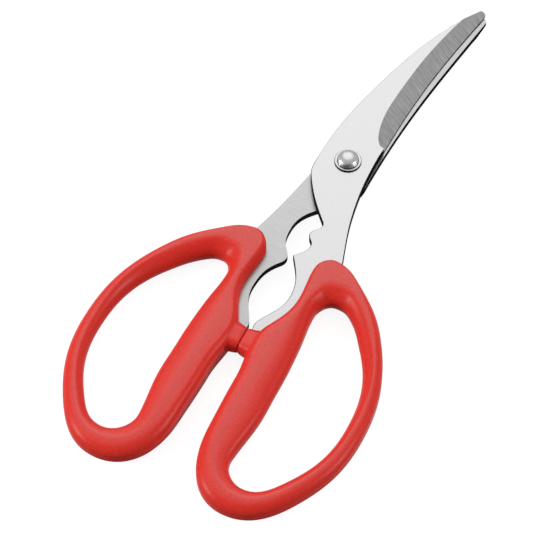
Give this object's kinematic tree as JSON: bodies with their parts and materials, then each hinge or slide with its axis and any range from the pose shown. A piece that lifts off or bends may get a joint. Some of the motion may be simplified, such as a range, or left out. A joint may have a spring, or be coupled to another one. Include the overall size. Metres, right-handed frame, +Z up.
{
  "type": "seafood shears",
  "caption": "Kitchen shears for seafood: curved bevelled steel blades on a domed rivet, claw-cracking jaw and toothed notch in the necks, red plastic finger-loop handles.",
  "frame": {"origin": "on the table under the middle of the closed shears' length and width", "axes": "+Y towards the blade tips, +X towards the front blade's handle, +Z up, from the rear blade to the front blade and the rivet's dome"},
  "size_m": [0.088, 0.1914, 0.0095],
  "materials": {
    "blade_steel": "finely brushed faces, cross-ground bevels",
    "red_plastic": "satin with a fine mould grain",
    "polished_steel": "polished"
  },
  "bodies": {
    "rear_half": {"rear_blade": "blade_steel", "left_handle": "red_plastic", "pivot_rivet": "polished_steel", "front_washer": "polished_steel", "rear_washer": "polished_steel"},
    "front_half": {"front_blade": "blade_steel", "right_handle": "red_plastic"}
  },
  "joints": [
    {"name": "pivot", "type": "hinge", "parent": "rear_half", "child": "front_half", "pos_m": [0, 0.02405, 0.0046], "axis": [0, 0, 1], "range_deg": [0, 130]}
  ]
}
